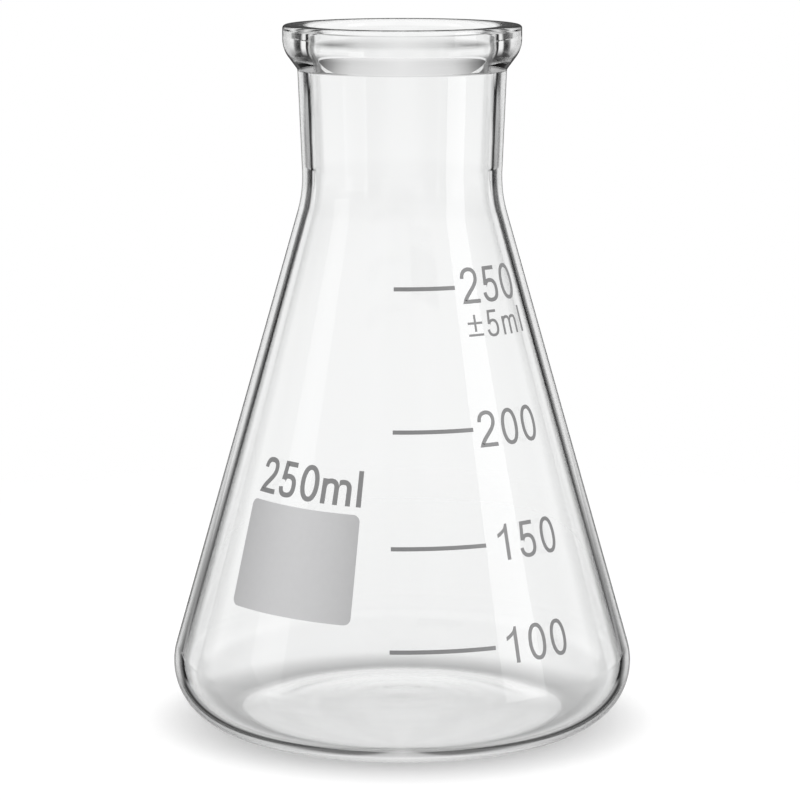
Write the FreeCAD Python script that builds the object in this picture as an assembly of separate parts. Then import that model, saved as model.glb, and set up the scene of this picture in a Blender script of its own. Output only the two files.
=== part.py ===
import FreeCAD
import Part

import math
import os

from FreeCAD import Vector

# Wide mouth conical flask of 250 ml, blown from one piece of clear glass.
# Millimetres. The axis of the flask is Z, and the foot ring rests on z = 0.

# Driving dimensions of the outside
body_diameter = 85.0        # widest part, on the heel
heel_radius = 11.4          # round heel between foot and cone
shoulder_height = 98.7      # where the lines of cone and neck meet
shoulder_radius = 24.0      # hollow blend between cone and neck
neck_diameter = 36.2        # outside, where the lines of cone and neck meet
neck_taper = 2.4            # degrees, the neck widens upwards
neck_length = 30.3          # from the shoulder to the top of the rim

# Driving dimensions of the reinforced rim
rim_projection = 2.7        # how far the rim stands out from the neck
rim_face_height = 4.35      # upright outer face
rim_slope_height = 3.65     # slope from the face back to the neck
rim_top_radius = 0.6        # outer edge of the top
rim_lip_radius = 1.3        # inner edge of the top
rim_face_radius = 5.4       # soft turn between face and slope
rim_root_radius = 1.0       # hollow turn between slope and neck

# Driving dimensions of the glass
body_wall = 1.8
neck_wall = 2.1
floor_thickness = 2.0       # at the middle of the floor
push_up = 2.2               # how far the middle of the underside is raised
foot_ring_width = 2.0       # flat ring that the flask stands on

# Faint rings left in the floor by the mould
ring_count = 3
ring_pitch = 8.5
ring_depth = 0.05

total_height = shoulder_height + neck_length


def point(radius, height):
    """A place on the half section of the flask."""
    return Vector(radius, 0, height)


def toward(angle):
    """Unit direction on the section, in degrees up from the outward radius."""
    return point(math.cos(math.radians(angle)), math.sin(math.radians(angle)))


def crossing(start_a, direction_a, start_b, direction_b):
    """Where two lines of the section meet."""
    turn = direction_a.x * direction_b.z - direction_a.z * direction_b.x
    gap = start_b - start_a
    along = (gap.x * direction_b.z - gap.z * direction_b.x) / turn
    return start_a + direction_a * along


def line(start, end):
    return Part.LineSegment(start, end).toShape()


def arc(centre, radius, start_angle, end_angle):
    """Arc about a centre of the section, through its middle angle."""
    middle_angle = (start_angle + end_angle) / 2
    start, middle, end = (centre + toward(a) * radius for a in (start_angle, middle_angle, end_angle))
    return Part.Arc(start, middle, end).toShape()


def rounded_path(start, corners, end):
    """Lines from start to end with each (corner, radius) rounded by a tangent arc."""
    edges = []
    places = [start] + [corner for corner, radius in corners] + [end]
    last = start
    for index, (corner, radius) in enumerate(corners, start=1):
        back = (places[index - 1] - corner).normalize()
        ahead = (places[index + 1] - corner).normalize()
        half_angle = back.getAngle(ahead) / 2
        setback = radius / math.tan(half_angle)
        arc_start = corner + back * setback
        arc_end = corner + ahead * setback
        bisector = (back + ahead).normalize()
        arc_middle = corner + bisector * (radius / math.sin(half_angle) - radius)
        edges.append(line(last, arc_start))
        edges.append(Part.Arc(arc_start, arc_middle, arc_end).toShape())
        last = arc_end
    edges.append(line(last, end))
    return edges


# Lines of the section that the outside and the inside share

heel_centre = point(body_diameter / 2 - heel_radius, heel_radius)
shoulder_corner = point(neck_diameter / 2, shoulder_height)
neck_direction = toward(90 - neck_taper)


def cone_slope():
    """Angle in degrees at which the cone leaves the heel and runs to the shoulder."""
    reach = shoulder_corner - heel_centre
    return math.degrees(math.atan2(reach.z, reach.x) - math.acos(heel_radius / reach.Length))


cone_angle = cone_slope()
cone_direction = toward(90 + cone_angle)


def wall_lines(body_offset, neck_offset):
    """Start of the cone and a place on the neck line, set in by the wall."""
    cone_start = heel_centre + toward(cone_angle) * (heel_radius - body_offset)
    neck_place = shoulder_corner - toward(-neck_taper) * neck_offset
    shoulder = crossing(cone_start, cone_direction, neck_place, neck_direction)
    return cone_start, shoulder


def neck_at(shoulder, height):
    """Place on the neck line at a height."""
    return crossing(shoulder, neck_direction, point(0, height), point(1, 0))


def wall_edges():
    """Up the outside from the heel to the rim, over the top and down the inside."""
    cone_start, shoulder = wall_lines(0, 0)
    inner_cone_start, inner_shoulder = wall_lines(body_wall, neck_wall)
    rim_root = neck_at(shoulder, total_height - rim_face_height - rim_slope_height)
    rim_radius = rim_root.x + rim_projection
    corners = [
        (shoulder, shoulder_radius),
        (rim_root, rim_root_radius),
        (point(rim_radius, total_height - rim_face_height), rim_face_radius),
        (point(rim_radius, total_height), rim_top_radius),
        (neck_at(inner_shoulder, total_height), rim_lip_radius),
        (inner_shoulder, shoulder_radius + neck_wall),
    ]
    return rounded_path(cone_start, corners, inner_cone_start)


def floor_dome(inner_heel):
    """Centre height and radius of the raised floor, which runs tangent into the inner heel."""
    top = push_up + floor_thickness
    drop = heel_centre.z - top
    radius = (heel_centre.x**2 + drop**2 - inner_heel**2) / (2 * (inner_heel - drop))
    return top - radius, radius


def floor_edges():
    """Inner heel, raised floor and the faint mould rings round its middle."""
    inner_heel = heel_radius - body_wall
    dome_height, dome_radius = floor_dome(inner_heel)
    dome_centre = point(0, dome_height)
    reach = heel_centre - dome_centre
    valley_angle = math.degrees(math.atan2(reach.z, reach.x))
    rings_radius = ring_count * ring_pitch
    rings_angle = math.degrees(math.acos(rings_radius / dome_radius))

    def ringed_floor(radius):
        dome = dome_height + math.sqrt(dome_radius**2 - radius**2)
        ring = (1 - math.cos(2 * math.pi * radius / ring_pitch)) / 2
        return point(radius, dome - ring_depth * ring)

    steps = ring_count * 8
    places = [ringed_floor(rings_radius * (steps - step) / steps) for step in range(steps + 1)]
    rings = Part.BSplineCurve()
    rings.interpolate(
        Points=places,
        InitialTangent=toward(rings_angle + 90),
        FinalTangent=toward(180),
    )
    return [
        arc(heel_centre, inner_heel, cone_angle, valley_angle - 180),
        arc(dome_centre, dome_radius, valley_angle, rings_angle),
        rings.toShape(),
    ]


def underside_edges():
    """Shallow hollow of the underside and the flat foot ring round it."""
    ring_inside = heel_centre.x - foot_ring_width
    hollow_radius = (ring_inside**2 + push_up**2) / (2 * push_up)
    hollow_centre = point(0, push_up - hollow_radius)
    ring_angle = math.degrees(math.acos(ring_inside / hollow_radius))
    return [
        arc(hollow_centre, hollow_radius, 90, ring_angle),
        line(point(ring_inside, 0), point(heel_centre.x, 0)),
    ]


def flask():
    """The whole flask, turned from its half section."""
    heel = arc(heel_centre, heel_radius, -90, cone_angle)
    axis = line(point(0, push_up + floor_thickness), point(0, push_up))
    edges = underside_edges() + [heel] + wall_edges() + floor_edges() + [axis]
    section = Part.Face(Part.Wire(edges))
    return section.revolve(Vector(0, 0, 0), Vector(0, 0, 1), 360)


os.makedirs("parts", exist_ok=True)
solid = flask()
solid.exportStep("parts/flask.step")
box = solid.optimalBoundingBox(False, False)
print("flask: valid", solid.isValid(), "solids", len(solid.Solids), "volume", round(solid.Volume, 1))
print("flask: size", round(box.XLength, 2), round(box.YLength, 2), round(box.ZLength, 2))
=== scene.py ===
import math

import bpy
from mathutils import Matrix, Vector


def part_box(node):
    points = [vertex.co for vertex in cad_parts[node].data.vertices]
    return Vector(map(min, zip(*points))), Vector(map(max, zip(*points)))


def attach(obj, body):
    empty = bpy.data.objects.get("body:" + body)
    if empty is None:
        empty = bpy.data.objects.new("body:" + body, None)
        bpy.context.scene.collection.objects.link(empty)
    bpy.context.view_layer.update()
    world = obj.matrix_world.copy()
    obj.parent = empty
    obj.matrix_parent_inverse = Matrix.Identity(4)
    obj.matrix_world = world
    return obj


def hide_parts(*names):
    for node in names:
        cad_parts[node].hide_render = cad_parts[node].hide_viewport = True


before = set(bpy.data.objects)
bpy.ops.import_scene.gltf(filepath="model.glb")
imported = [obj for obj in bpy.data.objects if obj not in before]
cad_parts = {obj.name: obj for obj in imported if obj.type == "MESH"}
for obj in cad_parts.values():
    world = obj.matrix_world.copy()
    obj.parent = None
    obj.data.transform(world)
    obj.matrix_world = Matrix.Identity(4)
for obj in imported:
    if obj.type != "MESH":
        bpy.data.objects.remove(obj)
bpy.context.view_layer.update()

# Wide mouth conical flask of clear glass with a printed scale, standing on a white table.
# Metres, in the frame of the CAD. The axis of the flask is Z, and its foot ring is on z = 0.

flask_low, flask_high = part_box("flask")
MM = 0.001

# Outside of the flask

body_diameter = flask_high.x - flask_low.x
total_height = flask_high.z
heel_radius = 11.4 * MM
neck_length = 30.3 * MM
neck_diameter = 36.2 * MM
neck_taper = 2.4
shoulder_radius = 24.0 * MM
rim_projection = 2.7 * MM
rim_face_height = 4.35 * MM
rim_slope_height = 3.65 * MM
rim_top_radius = 0.6 * MM
rim_lip_radius = 1.3 * MM
rim_face_radius = 5.4 * MM
rim_root_radius = 1.0 * MM

# Glass inside that outside

body_wall = 1.8 * MM
neck_wall = 2.1 * MM
floor_thickness = 2.0 * MM
push_up = 2.2 * MM
foot_ring_width = 2.0 * MM
ring_count = 3
ring_pitch = 8.5 * MM
ring_depth = 0.05 * MM

# How finely the glass is divided

steps_round = 256
degrees_per_step = 3.0
degrees_per_corner_step = 1.5
degrees_per_floor_step = 0.3
degrees_per_underside_step = 0.5
steps_per_ring = 16
longest_run = 6.0 * MM
foot_ring_run = 1.0 * MM
same_place = 0.001 * MM

# The camera

camera_place = Vector((-0.00040, -0.625887, 0.164806))
camera_pitch = 9.505
camera_lens = 154.79
sensor_width = 36.0


# Nodes written as Python expressions


class Wire:
    """The output of a node. Python's own operators add Math nodes to it."""

    def __init__(self, tree, socket):
        self.tree = tree
        self.socket = socket

    def maths(self, operation, *values):
        inputs = dict(enumerate(values))
        return self.tree.wire("ShaderNodeMath", {"operation": operation}, inputs)

    def __add__(self, other):
        return self.maths("ADD", self, other)

    __radd__ = __add__

    def __sub__(self, other):
        return self.maths("SUBTRACT", self, other)

    def __rsub__(self, other):
        return self.maths("SUBTRACT", other, self)

    def __mul__(self, other):
        return self.maths("MULTIPLY", self, other)

    __rmul__ = __mul__

    def __truediv__(self, other):
        return self.maths("DIVIDE", self, other)

    def __rtruediv__(self, other):
        return self.maths("DIVIDE", other, self)

    def __gt__(self, other):
        return self.maths("GREATER_THAN", self, other)

    def larger(self, other):
        return self.maths("MAXIMUM", self, other)

    def __abs__(self):
        return self.maths("ABSOLUTE", self)

    def tangent(self):
        return self.maths("TANGENT", self)

    def rounded(self):
        return self.maths("ROUND", self)

    def sine(self):
        return self.maths("SINE", self)

    def cosine(self):
        return self.maths("COSINE", self)

    def angle_from(self, along):
        """Angle in radians, with this wire as the way across."""
        return self.maths("ARCTAN2", self, along)

    def there_and_back(self, span):
        """Runs from 0 up to span and back to 0, again and again."""
        return self.maths("PINGPONG", self, span)


class Tree:
    """Adds nodes to the node tree of a material, a world or a shape."""

    def __init__(self, node_tree):
        self.node_tree = node_tree

    def node(self, kind, settings=(), inputs=()):
        """Adds a node, makes its settings, and then sets or links its inputs."""
        node = self.node_tree.nodes.new(kind)
        for name, value in dict(settings).items():
            if name == "stops":
                self.set_stops(node.color_ramp.elements, value)
            else:
                setattr(node, name, value)
        for name, value in dict(inputs).items():
            if isinstance(value, Wire):
                self.node_tree.links.new(value.socket, node.inputs[name])
            else:
                node.inputs[name].default_value = value
        return node

    def wire(self, kind, settings=(), inputs=(), output=0):
        """Adds a node and gives one of its outputs."""
        return Wire(self, self.node(kind, settings, inputs).outputs[output])

    def set_stops(self, elements, stops):
        """Gives a ramp its stops, each a place and a grey."""
        while len(elements) < len(stops):
            elements.new(1.0)
        for element, (place, grey) in zip(elements, stops):
            element.position = place
            element.color = (grey, grey, grey, 1.0)

    def together(self, *geometries):
        """Joins several geometries into one."""
        node = self.node("GeometryNodeJoinGeometry")
        for geometry in geometries:
            self.node_tree.links.new(geometry.socket, node.inputs[0])
        return Wire(self, node.outputs[0])

    def separate(self, vector):
        node = self.node("ShaderNodeSeparateXYZ", inputs={0: vector})
        return [Wire(self, output) for output in node.outputs]

    def combine(self, x, y, z):
        return self.wire("ShaderNodeCombineXYZ", inputs={0: x, 1: y, 2: z})

    def length(self, vector):
        return self.wire("ShaderNodeVectorMath", {"operation": "LENGTH"}, {0: vector}, output="Value")

    def blend(self, value, first, last, low, high):
        """Runs from low to high while a value runs from first to last."""
        return self.wire("ShaderNodeMapRange", inputs={0: value, 1: first, 2: last, 3: low, 4: high})


def shape_tree(name, sizes):
    """A Geometry Nodes tree with a geometry input and the named sizes after it."""
    node_tree = bpy.data.node_groups.new(name, "GeometryNodeTree")
    sockets = node_tree.interface
    sockets.new_socket("Geometry", in_out="INPUT", socket_type="NodeSocketGeometry")
    for label, kind in sizes.items():
        sockets.new_socket(label, in_out="INPUT", socket_type=kind)
    sockets.new_socket("Geometry", in_out="OUTPUT", socket_type="NodeSocketGeometry")
    tree = Tree(node_tree)
    group_input = tree.node("NodeGroupInput")
    given = {output.name: Wire(tree, output) for output in group_input.outputs if output.name}
    return tree, given


def finish_shape(tree, geometry, material):
    """Ends a shape tree with plain geometry in its material."""
    realized = tree.wire("GeometryNodeRealizeInstances", inputs={0: geometry})
    finished = tree.wire("GeometryNodeSetMaterial", inputs={"Geometry": realized, "Material": material})
    tree.node("NodeGroupOutput", inputs={0: finished})
    return tree.node_tree


def input_identifier(node_tree, label):
    """The identifier of a shape tree's input, by which a modifier sets it."""
    for item in node_tree.interface.items_tree:
        if item.in_out == "INPUT" and item.name == label:
            return item.identifier
    raise KeyError(label)


def shape_by_nodes(name, start_mesh, node_tree, sizes):
    """Runs a shape tree on a mesh and keeps the result as a plain mesh."""
    piece = bpy.data.objects.new(name, start_mesh)
    bpy.context.scene.collection.objects.link(piece)
    modifier = piece.modifiers.new("shape", "NODES")
    modifier.node_group = node_tree
    for label, value in sizes.items():
        modifier[input_identifier(node_tree, label)] = value
    bpy.context.view_layer.update()
    evaluated = piece.evaluated_get(bpy.context.evaluated_depsgraph_get())
    plain_mesh = bpy.data.meshes.new_from_object(evaluated)
    piece.modifiers.remove(modifier)
    piece.data = plain_mesh
    plain_mesh.name = name
    bpy.data.meshes.remove(start_mesh)
    return piece


# Half section of the glass, as radius and height


def toward(angle):
    """Unit direction on the section, in degrees up from the outward radius."""
    return Vector((math.cos(math.radians(angle)), math.sin(math.radians(angle))))


def crossing(start_a, direction_a, start_b, direction_b):
    """Where two lines of the section meet."""
    turn = direction_a.x * direction_b.y - direction_a.y * direction_b.x
    gap = start_b - start_a
    return start_a + direction_a * ((gap.x * direction_b.y - gap.y * direction_b.x) / turn)


def straight(start, end, longest=longest_run):
    """Places on a line from its start up to its end, which is left out."""
    steps = max(1, math.ceil((end - start).length / longest))
    return [start.lerp(end, step / steps) for step in range(steps)]


def arc(centre, radius, start_angle, end_angle, step_angle=degrees_per_step):
    """Places on an arc from its start up to its end, which is left out."""
    steps = max(2, math.ceil(abs(end_angle - start_angle) / step_angle))
    turn = (end_angle - start_angle) / steps
    return [centre + toward(start_angle + turn * step) * radius for step in range(steps)]


def angle_of(direction):
    return math.degrees(math.atan2(direction.y, direction.x))


def rounded_path(start, corners, end):
    """Lines from start to end with each (corner, radius) rounded by a tangent arc."""
    path = []
    places = [start] + [corner for corner, radius in corners] + [end]
    last = start
    for index, (corner, radius) in enumerate(corners, start=1):
        back = (places[index - 1] - corner).normalized()
        ahead = (places[index + 1] - corner).normalized()
        half_angle = back.angle(ahead) / 2
        centre = corner + (back + ahead).normalized() * (radius / math.sin(half_angle))
        arc_start = corner + back * (radius / math.tan(half_angle))
        arc_end = corner + ahead * (radius / math.tan(half_angle))
        start_angle = angle_of(arc_start - centre)
        turn = (angle_of(arc_end - centre) - start_angle + 180) % 360 - 180
        path += straight(last, arc_start)
        path += arc(centre, radius, start_angle, start_angle + turn, degrees_per_corner_step)
        last = arc_end
    return path + straight(last, end)


heel_centre = Vector((body_diameter / 2 - heel_radius, heel_radius))
shoulder_corner = Vector((neck_diameter / 2, total_height - neck_length))
neck_direction = toward(90 - neck_taper)
heel_to_shoulder = shoulder_corner - heel_centre
cone_angle = angle_of(heel_to_shoulder) - math.degrees(math.acos(heel_radius / heel_to_shoulder.length))
cone_direction = toward(90 + cone_angle)
cone_slope = math.tan(math.radians(cone_angle))


def wall_lines(body_offset, neck_offset):
    """Start of the cone and its corner with the neck, set in by the wall."""
    cone_start = heel_centre + toward(cone_angle) * (heel_radius - body_offset)
    neck_place = shoulder_corner - toward(-neck_taper) * neck_offset
    return cone_start, crossing(cone_start, cone_direction, neck_place, neck_direction)


def neck_at(shoulder, height):
    """Place on the neck line at a height."""
    return crossing(shoulder, neck_direction, Vector((0, height)), Vector((1, 0)))


def wall_path():
    """Up the outside from the heel to the rim, over the top and down the inside."""
    cone_start, shoulder = wall_lines(0, 0)
    inner_cone_start, inner_shoulder = wall_lines(body_wall, neck_wall)
    face_foot = total_height - rim_face_height
    rim_root = neck_at(shoulder, face_foot - rim_slope_height)
    rim_radius = rim_root.x + rim_projection
    corners = [
        (shoulder, shoulder_radius),
        (rim_root, rim_root_radius),
        (Vector((rim_radius, face_foot)), rim_face_radius),
        (Vector((rim_radius, total_height)), rim_top_radius),
        (neck_at(inner_shoulder, total_height), rim_lip_radius),
        (inner_shoulder, shoulder_radius + neck_wall),
    ]
    return rounded_path(cone_start, corners, inner_cone_start)


def floor_path():
    """Inner heel, raised floor and the faint mould rings round its middle."""
    inner_heel = heel_radius - body_wall
    top = push_up + floor_thickness
    drop = heel_centre.y - top
    dome_radius = (heel_centre.x**2 + drop**2 - inner_heel**2) / (2 * (inner_heel - drop))
    dome_centre = Vector((0, top - dome_radius))
    valley_angle = angle_of(heel_centre - dome_centre)
    rings_radius = ring_count * ring_pitch
    rings_angle = math.degrees(math.acos(rings_radius / dome_radius))
    ring_steps = ring_count * steps_per_ring

    def ringed_floor(radius):
        dome = dome_centre.y + math.sqrt(dome_radius**2 - radius**2)
        ring = (1 - math.cos(2 * math.pi * radius / ring_pitch)) / 2
        return Vector((radius, dome - ring_depth * ring))

    path = arc(heel_centre, inner_heel, cone_angle, valley_angle - 180)
    path += arc(dome_centre, dome_radius, valley_angle, rings_angle, degrees_per_floor_step)
    path += [ringed_floor(rings_radius * (1 - step / ring_steps)) for step in range(ring_steps + 1)]
    return path


def underside_path():
    """Shallow hollow of the underside and the flat foot ring round it."""
    ring_inside = heel_centre.x - foot_ring_width
    hollow_radius = (ring_inside**2 + push_up**2) / (2 * push_up)
    hollow_centre = Vector((0, push_up - hollow_radius))
    ring_angle = math.degrees(math.acos(ring_inside / hollow_radius))
    hollow = arc(hollow_centre, hollow_radius, 90, ring_angle, degrees_per_underside_step)
    return hollow + straight(Vector((ring_inside, 0)), Vector((heel_centre.x, 0)), foot_ring_run)


def half_section():
    """The outline of the glass from the axis below, round the wall, to the axis above."""
    heel = arc(heel_centre, heel_radius, -90, cone_angle)
    return underside_path() + heel + wall_path() + floor_path()


def section_mesh(path):
    """A mesh of the section's places alone, in the plane of X and Z."""
    mesh = bpy.data.meshes.new("section")
    mesh.from_pydata([(place.x, 0, place.y) for place in path], [], [])
    return mesh


def turned_tree():
    """Turns the places of a half section round the axis into closed glass."""
    tree, given = shape_tree("turned_glass", {
        "Steps round": "NodeSocketInt",
        "Places along": "NodeSocketInt",
        "Closeness": "NodeSocketFloat",
        "Glass": "NodeSocketMaterial",
    })
    grid = tree.wire("GeometryNodeMeshGrid", inputs={
        "Size X": 1.0,
        "Size Y": 1.0,
        "Vertices X": given["Steps round"] + 1,
        "Vertices Y": given["Places along"],
    })
    position = tree.wire("GeometryNodeInputPosition")
    across, along = tree.separate(position)[:2]
    angle = (across + 0.5) * (2 * math.pi)
    index = ((along + 0.5) * (given["Places along"] - 1)).rounded()
    place = tree.wire(
        "GeometryNodeSampleIndex",
        {"data_type": "FLOAT_VECTOR", "domain": "POINT"},
        {"Geometry": given["Geometry"], "Value": position, "Index": index},
    )
    radius, height = tree.separate(place)[::2]
    on_ring = tree.combine(radius * angle.cosine(), radius * angle.sine(), height)
    turned = tree.wire("GeometryNodeSetPosition", inputs={"Geometry": grid, "Position": on_ring})
    closed = tree.wire("GeometryNodeMergeByDistance", inputs={
        "Geometry": turned,
        "Distance": given["Closeness"],
    })
    smooth = tree.wire("GeometryNodeSetShadeSmooth", inputs={"Geometry": closed})
    return finish_shape(tree, smooth, given["Glass"])


# Print, drawn flat in capital heights


def bend(start, start_pull, end_pull, end, steps=14):
    """Places on a smooth bend that leaves towards one pull and arrives from the other."""
    places = []
    for step in range(steps + 1):
        t = step / steps
        leaving = Vector(start) * (1 - t) ** 3 + Vector(start_pull) * (3 * t * (1 - t) ** 2)
        arriving = Vector(end_pull) * (3 * t**2 * (1 - t)) + Vector(end) * t**3
        places.append(leaving + arriving)
    return places


def run(start, end, steps=8):
    """Places on a straight piece of a path."""
    return [Vector(start).lerp(Vector(end), step / steps) for step in range(steps + 1)]


def joined(*paths):
    """One path from several, where each starts at the end of the one before."""
    whole = list(paths[0])
    for path in paths[1:]:
        whole += path[1:]
    return whole


def band(upper, lower, closed=False):
    """Places and faces between two rails with as many places each."""
    count = len(upper)
    faces = []
    for index in range(count if closed else count - 1):
        following = (index + 1) % count
        faces.append((index, count + index, count + following, following))
    return list(upper) + list(lower), faces


def stroke(path, weight, left=-math.inf, closed=False):
    """A band of even weight along a path, cut off upright at left."""
    rails = ([], [])
    last = len(path) - 1
    for index, place in enumerate(path):
        ahead = path[(index + 1) % len(path)] - place if closed or index < last else None
        back = place - path[index - 1] if closed or index > 0 else ahead
        ahead = (ahead or back).normalized()
        tangent = (back.normalized() + ahead).normalized()
        side = Vector((-tangent.y, tangent.x))
        reach = weight / 2 / tangent.dot(ahead)
        for rail, sign in zip(rails, (1, -1)):
            corner = place + side * (reach * sign)
            rail.append(Vector((max(corner.x, left), corner.y)))
    return band(rails[0], rails[1], closed)


def figure_0(weight):
    """Oval nought, a little squarer than an ellipse."""
    width, steps = 0.60, 48
    half_width = (width - weight) / 2
    half_height = (1 - weight) / 2 + 0.01
    path = []
    for step in range(steps):
        angle = 2 * math.pi * step / steps
        across = math.copysign(abs(math.cos(angle)) ** 0.88, math.cos(angle))
        up = math.copysign(abs(math.sin(angle)) ** 0.94, math.sin(angle))
        path.append(Vector((width / 2 + half_width * across, 0.5 + half_height * up)))
    return [stroke(path, weight, closed=True)]


def figure_1(weight):
    """Upright stem with a flag that curves down to the left."""
    right = 0.345
    left = right - weight
    flag_root = 0.90
    stem_left = run((left, 0), (left, flag_root)) + [Vector((left + weight * 0.38, 1.0))]
    stem_right = run((right, 0), (right, flag_root)) + [Vector((right, 1.0))]
    flag_top = bend((0, 0.735), (0.10, 0.78), (left - 0.03, 0.85), (left, flag_root))
    flag_foot = bend((0, 0.625), (0.09, 0.66), (left - 0.06, 0.72), (left, 0.775))
    return [band(stem_left, stem_right), band(flag_top, flag_foot)]


def figure_2(weight):
    """Hook, round shoulder, long diagonal and straight foot in one stroke."""
    half = weight / 2
    crown = 1 - half + 0.01
    right = 0.585 - half
    toe = (0.035 + half, half)
    hook = bend((half + 0.01, 0.70), (half + 0.01, 0.87), (0.17, crown), (0.30, crown))
    shoulder = bend((0.30, crown), (0.455, crown), (right, 0.87), (right, 0.72))
    diagonal = bend((right, 0.72), (right, 0.47), (0.12 + half, 0.30), toe, 22)
    foot = run(toe, (0.60, half))
    return [stroke(joined(hook, shoulder, diagonal, foot), weight)]


def figure_5(weight):
    """Bar and stem in one stroke, and a bowl that leaves the stem."""
    half = weight / 2
    stem_top, stem_foot = 0.105 + half, 0.06 + half
    crown, hollow = 0.655 - half, half - 0.01
    right = 0.595 - half
    bar = run((0.555, 1 - half), (stem_top, 1 - half))
    stem = run((stem_top, 1 - half), (stem_foot, 0.47))
    rise = bend((stem_foot, 0.44), (stem_foot + 0.06, 0.56), (0.20, crown), (0.31, crown))
    side = bend((0.31, crown), (0.475, crown), (right, 0.49), (right, 0.33))
    fall = bend((right, 0.33), (right, 0.14), (0.45, hollow), (0.285, hollow))
    hook = bend((0.285, hollow), (0.155, hollow), (half + 0.025, 0.12), (half + 0.005, 0.27))
    return [
        stroke(joined(bar, stem), weight),
        stroke(rise, weight, left=stem_foot + half),
        stroke(joined(side, fall, hook), weight),
    ]


def letter_m(weight):
    """A stem and two arches, each cut off at the stem that it leaves."""
    height, pitch = 0.70, 0.375
    half = weight / 2
    crown = height - half + 0.015
    parts = [band(run((0, 0), (0, height)), run((weight, 0), (weight, height)))]
    for start in (0, pitch):
        middle = start + half + pitch * 0.56
        right = start + half + pitch
        shoulder = (start + half + 0.01, 0.60)
        rise = bend((start + half, 0.44), shoulder, (middle - 0.11, crown), (middle, crown))
        fall = bend((middle, crown), (middle + 0.10, crown), (right, crown - 0.06), (right, 0.46))
        stem = run((right, 0.46), (right, 0))
        parts.append(stroke(joined(rise, fall, stem), weight, left=start + weight))
    return parts


def letter_l(weight):
    return [band(run((0, 0), (0, 1.0)), run((weight, 0), (weight, 1.0)))]


def plus_minus(weight):
    """Plus over a bar, in pieces that meet edge to edge."""
    width, cross, foot, low, high = 0.66, 0.555, 0.11, 0.235, 0.875
    thin = weight * 0.85
    left, right = (width - thin) / 2, (width + thin) / 2
    return [
        band(run((left, low), (left, high)), run((right, low), (right, high))),
        stroke(run((0, cross), (left, cross)), thin),
        stroke(run((right, cross), (width, cross)), thin),
        stroke(run((0, foot), (width, foot), 16), thin),
    ]


# Each character's strokes, and how far the next one starts from its left side
characters = {
    "0": (figure_0, 0.71),
    "1": (figure_1, 0.62),
    "2": (figure_2, 0.73),
    "5": (figure_5, 0.755),
    "m": (letter_m, 1.06),
    "l": (letter_l, 0.30),
    "+": (plus_minus, 0.79),
}


def lettering(text, capital_height, weight, spread=0.0):
    """Flat places and faces of a text from its lower left corner, with its characters spread apart."""
    places, faces = [], []
    pen = 0.0
    for character in text:
        draw, advance = characters[character]
        for part_places, part_faces in draw(weight / capital_height):
            first = len(places)
            places += [Vector((pen + place.x, place.y)) * capital_height for place in part_places]
            faces += [tuple(first + corner for corner in face) for face in part_faces]
        pen += advance + spread
    return places, faces


def rounded_field(width, height, corner_radius):
    """Flat places and faces of an upright field with round corners, about its middle."""
    steps, corner_steps, middle_steps = 72, 8, 40
    levels = []
    for step in range(corner_steps + 1):
        angle = math.pi / 2 * step / corner_steps
        inset = corner_radius * (1 - math.sin(angle))
        level = height / 2 - corner_radius * (1 - math.cos(angle))
        levels.append((level, inset))
    span = levels[-1][0]
    middle = [(span * (1 - 2 * step / middle_steps), 0.0) for step in range(1, middle_steps)]
    rows = levels + middle + [(-level, inset) for level, inset in reversed(levels)]
    places = []
    for level, inset in rows:
        half = width / 2 - inset
        places += [Vector((half * (2 * step / steps - 1), level)) for step in range(steps + 1)]
    faces = []
    for row in range(len(rows) - 1):
        for step in range(steps):
            corner = row * (steps + 1) + step
            faces.append((corner, corner + steps + 1, corner + steps + 2, corner + 1))
    return places, faces


def flat_mesh(places, faces):
    """A flat mesh of a drawing, with every face towards the reader."""
    mesh = bpy.data.meshes.new("drawing")
    towards_reader = []
    for face in faces:
        corners = [places[corner] for corner in face]
        area = sum(a.x * b.y - b.x * a.y for a, b in zip(corners, corners[1:] + corners[:1]))
        towards_reader.append(face if area > 0 else face[::-1])
    mesh.from_pydata([(place.x, place.y, 0) for place in places], [], towards_reader)
    return mesh


# Print, laid round the cone

cone_start_outside = wall_lines(0, 0)[0]
cone_radius_at_table = cone_start_outside.x + cone_start_outside.y * cone_slope
enamel_thickness = 0.06 * MM
enamel_fusing = 0.02 * MM
crease_angle = 0.7
weld_share = 0.05


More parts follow.
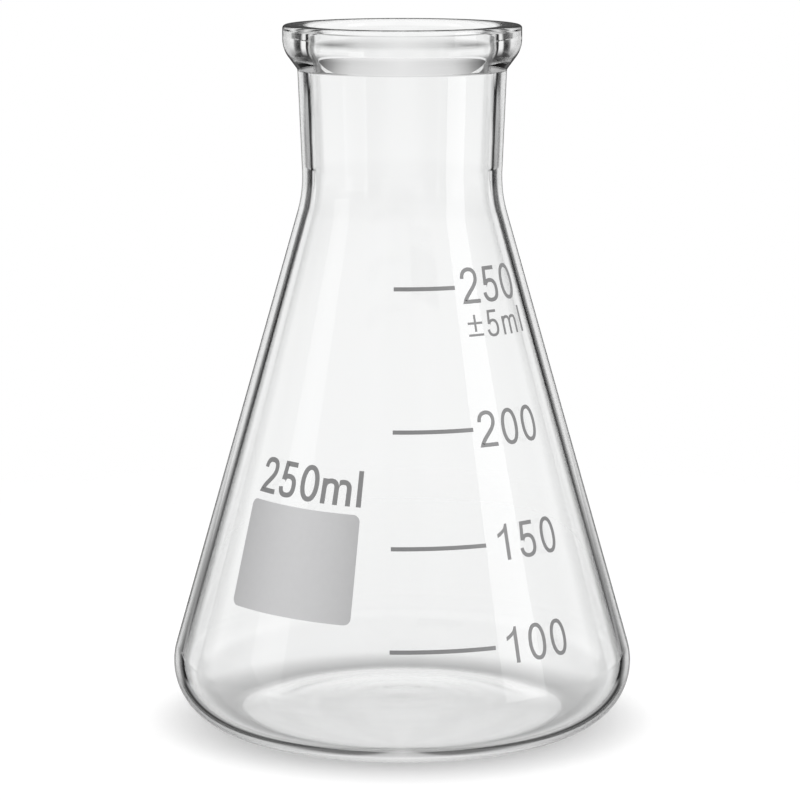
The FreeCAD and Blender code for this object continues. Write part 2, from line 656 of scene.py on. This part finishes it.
def enamel_tree():
    """Bends a flat drawing round the cone and gives it the thickness of enamel."""
    tree, given = shape_tree("enamel_on_cone", {
        "Azimuth": "NodeSocketFloat",
        "Height": "NodeSocketFloat",
        "Radius there": "NodeSocketFloat",
        "Cone radius at table": "NodeSocketFloat",
        "Cone angle": "NodeSocketFloat",
        "Fusing depth": "NodeSocketFloat",
        "Thickness": "NodeSocketFloat",
        "Enamel": "NodeSocketMaterial",
    })
    across, up = tree.separate(tree.wire("GeometryNodeInputPosition"))[:2]
    azimuth = given["Azimuth"] + across / given["Radius there"]
    height = given["Height"] + up * given["Cone angle"].cosine()
    surface = given["Cone radius at table"] - height * given["Cone angle"].tangent()
    radius = surface - given["Fusing depth"]
    position = tree.combine(radius * azimuth.sine(), 0 - radius * azimuth.cosine(), height)
    foot = tree.wire("GeometryNodeSetPosition", inputs={"Geometry": given["Geometry"], "Position": position})
    face = tree.wire("GeometryNodeExtrudeMesh", {"mode": "FACES"}, {
        "Mesh": foot,
        "Offset Scale": given["Thickness"],
        "Individual": False,
    })
    back = tree.wire("GeometryNodeFlipFaces", inputs={"Mesh": foot})
    closed = tree.wire("GeometryNodeMergeByDistance", inputs={
        "Geometry": tree.together(face, back),
        "Distance": given["Thickness"] * weld_share,
    })
    smooth = tree.wire("GeometryNodeSetShadeSmooth", inputs={"Geometry": closed})
    edge_angle = tree.wire("GeometryNodeInputMeshEdgeAngle")
    crisp = tree.wire("GeometryNodeSetShadeSmooth", {"domain": "EDGE"}, {
        "Geometry": smooth,
        "Selection": edge_angle > crease_angle,
        "Shade Smooth": False,
    })
    return finish_shape(tree, crisp, given["Enamel"])


def enamel_piece(name, drawings, enamel, on_cone):
    """One piece of print from drawings, each (places, faces, azimuth in degrees, height)."""
    parts = []
    for places, faces, azimuth, height in drawings:
        parts.append(shape_by_nodes(name, flat_mesh(places, faces), on_cone, {
            "Azimuth": math.radians(azimuth),
            "Height": height,
            "Radius there": cone_radius_at_table - height * cone_slope,
            "Cone radius at table": cone_radius_at_table,
            "Cone angle": math.radians(cone_angle),
            "Fusing depth": enamel_fusing,
            "Thickness": enamel_thickness,
            "Enamel": enamel,
        }))
    return joined_pieces(name, parts)


def joined_pieces(name, parts):
    """One object from several that share a material."""
    with bpy.context.temp_override(active_object=parts[0], selected_editable_objects=parts):
        bpy.ops.object.join()
    parts[0].name = name
    return parts[0]


# Finishes


def new_material(name):
    material = bpy.data.materials.new(name)
    material.use_nodes = True
    material.node_tree.nodes.clear()
    return material, Tree(material.node_tree)


def light_path(tree):
    """The kinds of ray that a shader tells apart, by name."""
    node = tree.node("ShaderNodeLightPath")
    return {output.name: Wire(tree, output) for output in node.outputs}


def clear_glass():
    """Clear borosilicate glass with the slight unevenness of blown walls.

    It shades what lies close under its heel, and hardly anything else.
    """
    refraction = 1.473
    shade_reach = 9 * MM
    foot_reach = 30 * MM
    material, tree = new_material("clear_glass")
    place = tree.wire("ShaderNodeTexCoord", output="Object")
    waves = tree.wire("ShaderNodeTexNoise", inputs={"Vector": place, "Scale": 45.0, "Detail": 1.0})
    uneven = tree.wire("ShaderNodeBump", inputs={"Height": waves, "Strength": 1.0, "Distance": 0.004 * MM})
    glass = tree.wire("ShaderNodeBsdfPrincipled", inputs={
        "Base Color": (0.991, 0.994, 0.993, 1.0),
        "Transmission Weight": 1.0,
        "Roughness": 0.0,
        "IOR": refraction,
        "Normal": uneven,
    })
    ray = light_path(tree)
    close_shade = tree.wire("ShaderNodeBsdfTransparent", inputs={"Color": (0.50, 0.50, 0.50, 1.0)})
    clear_shade = tree.wire("ShaderNodeBsdfTransparent", inputs={"Color": (0.97, 0.97, 0.97, 1.0)})
    in_foot = 1 - (tree.length(place) > foot_reach)
    clear = (ray["Ray Length"] > shade_reach).larger(in_foot)
    shade = tree.wire("ShaderNodeMixShader", inputs={0: clear, 1: close_shade, 2: clear_shade})
    casts_shade = ray["Is Shadow Ray"].larger(ray["Is Diffuse Ray"])
    mixed = tree.wire("ShaderNodeMixShader", inputs={0: casts_shade, 1: glass, 2: shade})
    tree.node("ShaderNodeOutputMaterial", inputs={"Surface": mixed})
    return material


def fired_enamel(name, grey, grain, painted_sheen=0.0, middle=0.0):
    """Grey enamel fused to the glass, satin and finely grained. Round an azimuth in degrees it is paler, a
    painted sheen that stands in for the soft light's highlight.
    """
    satin = 0.38
    refraction = 1.60
    painted_sheen_reach = 17
    material, tree = new_material(name)
    place = tree.wire("ShaderNodeTexCoord", output="Object")
    cloud = tree.wire("ShaderNodeTexNoise", inputs={"Vector": place, "Scale": 900.0, "Detail": 3.0})
    speck = tree.wire("ShaderNodeTexNoise", inputs={"Vector": place, "Scale": 6000.0, "Detail": 2.0})
    across, along = tree.separate(place)[:2]
    azimuth = across.angle_from(0 - along)
    off_sheen_middle = (azimuth - math.radians(middle)) / math.radians(painted_sheen_reach)
    # The paler band round the middle azimuth is painted sheen: the soft light's highlight painted into the
    # colour.
    tone = grey + (cloud - 0.5) * grain + painted_sheen * (1 - off_sheen_middle * off_sheen_middle)
    colour = tree.wire("ShaderNodeCombineColor", inputs={0: tone, 1: tone, 2: tone * 1.01})
    uneven = tree.wire("ShaderNodeBump", inputs={"Height": speck, "Strength": 0.4, "Distance": 0.01 * MM})
    enamel = tree.wire("ShaderNodeBsdfPrincipled", inputs={
        "Base Color": colour,
        "Roughness": satin + (speck - 0.5) * 0.12,
        "IOR": refraction,
        "Normal": uneven,
    })
    tree.node("ShaderNodeOutputMaterial", inputs={"Surface": enamel})
    return material


# Studio


def turned_in_glass(ray):
    """1 for a ray that left the glass after it was reflected inside it."""
    return ray["Is Transmission Ray"] * (ray["Glossy Depth"] > 0.5)


def mirrored(ray):
    """1 for a ray that was reflected. A refracted ray counts as glossy too, and is left out."""
    return ray["Is Glossy Ray"] * (1 - ray["Is Transmission Ray"])


def table_top():
    """White table that takes the soft shade round the foot and fades out towards its edge."""
    radius, steps = 0.26, 96
    fade_start = 0.10
    below_foot = -0.05 * MM
    matt_grey = 0.78
    glow_in_view = 0.33
    glow_through_glass = 0.23
    mesh = bpy.data.meshes.new("table")
    rim = [2 * math.pi * step / steps for step in range(steps)]
    mesh.from_pydata(
        [(radius * math.cos(angle), radius * math.sin(angle), below_foot) for angle in rim],
        [],
        [tuple(range(steps))],
    )
    table = bpy.data.objects.new("table", mesh)
    bpy.context.scene.collection.objects.link(table)
    material, tree = new_material("white_table")
    ray = light_path(tree)
    seen = ray["Is Camera Ray"] * glow_in_view + ray["Is Transmission Ray"] * glow_through_glass
    matt_colour = (matt_grey, matt_grey, matt_grey, 1.0)
    matt = tree.wire("ShaderNodeBsdfDiffuse", inputs={"Color": matt_colour})
    glow = tree.wire("ShaderNodeEmission", inputs={"Strength": seen})
    lit = tree.wire("ShaderNodeAddShader", inputs={0: matt, 1: glow})
    passed = tree.wire("ShaderNodeBsdfTransparent")
    place = tree.wire("ShaderNodeTexCoord", output="Object")
    edge = tree.blend(tree.length(place), fade_start, radius, 0.0, 1.0)
    unseen = turned_in_glass(ray).larger(mirrored(ray)).larger(edge)
    surface = tree.wire("ShaderNodeMixShader", inputs={0: unseen, 1: lit, 2: passed})
    tree.node("ShaderNodeOutputMaterial", inputs={"Surface": surface})
    mesh.materials.append(material)


def card_ring(tree, bearing, stops):
    """Brightness of the studio round the flask, from stops of degrees off +Y and grey."""
    places = tuple((degrees / 180, grey) for degrees, grey in stops)
    return tree.wire("ShaderNodeValToRGB", {"stops": places}, {0: bearing / math.pi})


def layered(tree, up, layers):
    """Blends rings from the lowest to the highest, each with the sine of its slope above level."""
    last_rise, whole = layers[0]
    for rise, ring in layers[1:]:
        whole = whole + tree.blend(up, last_rise, rise, 0.0, 1.0) * (ring - whole)
        last_rise = rise
    return whole


def studio_world():
    """Plain light for the object, white behind it, and dark cards beside what the glass turns.

    The cards repeat at each quarter turn for rays that stay in one wall, so that every view has dark edges.
    """
    plain_level = 0.85
    repeat_start, repeat_full = math.radians(49), math.radians(55)
    wall_crossings = 2.5
    world = bpy.data.worlds.new("studio")
    bpy.context.scene.world = world
    world.use_nodes = True
    world.node_tree.nodes.clear()
    tree = Tree(world.node_tree)
    ray = light_path(tree)
    across, along, up = tree.separate(tree.wire("ShaderNodeTexCoord", output="Generated"))
    round_about = abs(across.angle_from(along))
    quarter = round_about.there_and_back(math.pi / 4)
    in_one_wall = 1 - (ray["Transmission Depth"] > wall_crossings)
    beside = tree.blend(round_about, repeat_start, repeat_full, 0.0, 1.0)
    bearing = round_about + in_one_wall * beside * (quarter - round_about)
    level_cards = card_ring(tree, bearing, (
        (0, 1.0), (18, 0.97), (24, 0.90), (26, 0.55), (28, 0.25), (30, 0.12), (33, 0.04), (35, 0.0),
        (41, 0.0), (45, 1.0), (180, 1.0),
    ))
    neck_cards = card_ring(tree, bearing, (
        (0, 0.97), (15, 0.92), (19, 0.65), (22, 0.30), (26, 0.33), (30, 0.48), (37, 0.48), (39, 0.0),
        (47, 0.0), (51, 0.85), (180, 0.90),
    ))
    heel_cards = card_ring(tree, bearing, (
        (0, 0.95), (15, 0.85), (18, 0.65), (20, 0.30), (23, 0.18), (26, 0.20), (29, 0.06), (32, 0.0),
        (42, 0.0), (47, 0.90), (180, 0.90),
    ))
    floor_cards = card_ring(tree, bearing, (
        (0, 0.92), (18, 0.85), (24, 0.55), (27, 0.20), (31, 0.05), (34, 0.0), (43, 0.0), (47, 0.85),
        (180, 0.90),
    ))
    high_cards = card_ring(tree, bearing, (
        (0, 0.60), (12, 0.45), (20, 0.20), (35, 0.03), (65, 0.03), (90, 0.40), (180, 0.60),
    ))
    steep_cards = card_ring(tree, bearing, (
        (0, 0.85), (12, 0.75), (18, 0.65), (20, 0.05), (30, 0.05), (34, 0.50), (42, 0.50),
        (50, 0.80), (180, 0.85),
    ))
    foot_cards = card_ring(tree, bearing, (
        (0, 0.55), (5, 0.45), (8, 0.16), (14, 0.12), (19, 0.16), (24, 0.05), (30, 0.05), (34, 0.50),
        (42, 0.50), (50, 0.80), (180, 0.85),
    ))
    cards = layered(tree, up, (
        (-0.76, foot_cards), (-0.62, steep_cards), (-0.32, steep_cards), (-0.27, floor_cards),
        (-0.18, floor_cards), (-0.15, heel_cards), (-0.122, heel_cards), (-0.114, neck_cards),
        (-0.103, neck_cards), (-0.092, level_cards), (0.08, level_cards), (0.26, high_cards),
        (0.40, high_cards), (0.65, 0.60),
    ))
    level_room = card_ring(tree, round_about, (
        (0, 0.10), (15, 0.10), (19, 0.60), (23, 0.75), (33, 0.70), (37, 0.10), (43, 0.0), (46, 0.70),
        (72, 0.70), (82, 0.15), (98, 0.15), (108, 0.70), (160, 0.70), (172, 0.15), (180, 0.15),
    ))
    low_room = card_ring(tree, round_about, (
        (0, 0.10), (15, 0.10), (19, 0.60), (27, 0.55), (32, 0.15), (37, 0.0), (50, 0.05), (60, 0.10),
        (75, 0.45), (180, 0.45),
    ))
    steep_room = card_ring(tree, round_about, (
        (0, 0.90), (12, 0.70), (18, 0.10), (44, 0.05), (50, 0.45), (180, 0.45),
    ))
    room = layered(tree, up, (
        (-0.35, steep_room), (-0.20, low_room), (-0.08, low_room), (-0.04, level_room),
    ))
    level_back = card_ring(tree, round_about, (
        (0, 0.93), (24, 0.93), (27, 0.10), (34, 0.10), (40, 0.93), (180, 0.93),
    ))
    high_back = card_ring(tree, round_about, (
        (0, 0.82), (4, 0.70), (8, 0.30), (12, 0.10), (60, 0.05), (180, 0.30),
    ))
    behind = layered(tree, up, (
        (-0.12, 0.985), (-0.08, level_back), (0.06, level_back), (0.20, high_back), (0.40, high_back),
        (0.65, 0.60),
    ))
    turned = turned_in_glass(ray)
    through = ray["Is Transmission Ray"] - turned
    strength = plain_level + ray["Is Camera Ray"] * (1.0 - plain_level)
    strength = strength + through * (behind - plain_level)
    strength = strength + turned * (cards - plain_level)
    strength = strength + mirrored(ray) * (room - plain_level)
    sky = tree.wire("ShaderNodeBackground", inputs={"Color": (1.0, 1.0, 1.0, 1.0), "Strength": strength})
    tree.node("ShaderNodeOutputWorld", inputs={"Surface": sky})


def soft_box(name, bearing, width, foot, top, brightness):
    """Upright soft lamp that the glass reflects, at a bearing in degrees from the camera's side."""
    distance = 0.9
    height = top - foot
    lamp_data = bpy.data.lights.new(name, "AREA")
    lamp_data.shape = "RECTANGLE"
    lamp_data.size = width
    lamp_data.size_y = height
    lamp_data.energy = brightness * math.pi * width * height
    lamp = bpy.data.objects.new(name, lamp_data)
    angle = math.radians(bearing)
    lamp.location = (distance * math.sin(angle), -distance * math.cos(angle), (foot + top) / 2)
    lamp.rotation_euler = (math.pi / 2, 0, angle)
    lamp.visible_camera = False
    lamp.visible_transmission = False
    bpy.context.scene.collection.objects.link(lamp)


def camera():
    camera_data = bpy.data.cameras.new("camera")
    camera_data.lens = camera_lens
    camera_data.sensor_width = sensor_width
    camera_object = bpy.data.objects.new("camera", camera_data)
    camera_object.location = camera_place
    camera_object.rotation_euler = (math.radians(90 - camera_pitch), 0, 0)
    bpy.context.scene.collection.objects.link(camera_object)
    bpy.context.scene.camera = camera_object


# The flask

glass = clear_glass()
section = half_section()
flask = shape_by_nodes("flask_glass", section_mesh(section), turned_tree(), {
    "Steps round": steps_round,
    "Places along": len(section),
    "Closeness": same_place,
    "Glass": glass,
})
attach(flask, "root")
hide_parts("flask")

# Its print: four lines with their volumes, the tolerance, the capacity and the marking spot

spot_azimuth = -32.9
grain = 0.03
scale_enamel = fired_enamel("scale_enamel", 0.245, grain)
# The spot's paler middle is painted sheen, standing in for the soft light on the left.
spot_enamel = fired_enamel("spot_enamel", 0.545, grain, painted_sheen=0.10, middle=spot_azimuth)
on_cone = enamel_tree()
capital_height = 6.45 * MM
small_capital_height = 4.80 * MM
scale_weight = 0.72 * MM
line_weight = 0.74 * MM
tolerance_weight = 0.50 * MM
capacity_weight = 0.90 * MM

# Each line: its volume, height, left and right azimuth, and then the number's azimuth, foot and spread
scale = (
    ("250", 83.60 * MM, -3.9, 24.6, 27.7, 80.70 * MM, 0.01),
    ("200", 59.10 * MM, -3.3, 25.3, 27.2, 55.95 * MM, 0.07),
    ("150", 39.30 * MM, -3.3, 25.0, 29.1, 36.45 * MM, 0.08),
    ("100", 21.90 * MM, -3.2, 24.3, 27.7, 18.95 * MM, 0.09),
)
lines, numbers = [], []
for volume, line_height, left, right, number_left, number_foot, spread in scale:
    radius = cone_radius_at_table - line_height * cone_slope
    length = math.radians(right - left) * radius
    places, faces = stroke(run((0, 0), (length, 0), 40), line_weight)
    lines.append((places, faces, left, line_height))
    places, faces = lettering(volume, capital_height, scale_weight, spread)
    numbers.append((places, faces, number_left, number_foot))
scale_lines = enamel_piece("scale_lines", lines, scale_enamel, on_cone)
scale_numbers = enamel_piece("scale_numbers", numbers, scale_enamel, on_cone)

tolerance_azimuth, tolerance_foot, tolerance_spread = 28.7, 74.7 * MM, 0.075
places, faces = lettering("+5ml", small_capital_height, tolerance_weight, tolerance_spread)
drawing = (places, faces, tolerance_azimuth, tolerance_foot)
tolerance = enamel_piece("tolerance_mark", [drawing], scale_enamel, on_cone)

# The capacity runs slightly downhill
capacity_azimuth, capacity_foot, capacity_tilt = -51.0, 47.0 * MM, math.radians(-2.2)
places, faces = lettering("250ml", capital_height, capacity_weight)
level, uphill = math.cos(capacity_tilt), math.sin(capacity_tilt)
places = [Vector((p.x * level - p.y * uphill, p.x * uphill + p.y * level)) for p in places]
drawing = (places, faces, capacity_azimuth, capacity_foot)
capacity = enamel_piece("capacity_mark", [drawing], scale_enamel, on_cone)

# The spot widens upwards, by a share of its width for each metre, and sinks to the right
spot_width, spot_height, spot_corner = 24.65 * MM, 19.5 * MM, 1.25 * MM
spot_middle, spot_widening, spot_sinking = 35.9 * MM, 2.4, 0.035
places, faces = rounded_field(spot_width, spot_height, spot_corner)
places = [Vector((p.x * (1 + spot_widening * p.y), p.y - p.x * spot_sinking)) for p in places]
drawing = (places, faces, spot_azimuth, spot_middle)
spot = enamel_piece("marking_spot", [drawing], spot_enamel, on_cone)

for printed in (scale_lines, scale_numbers, tolerance, capacity, spot):
    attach(printed, "root")

table_top()
studio_world()
soft_box("right_soft_box", 62.5, 0.37, -0.07, 0.88, 1.9)
soft_box("left_soft_box", -72.0, 0.32, 0.16, 0.88, 0.9)
soft_box("low_left_soft_box", -54.0, 0.46, -0.35, 0.08, 0.7)
camera()
bpy.context.scene.view_settings.view_transform = "Standard"
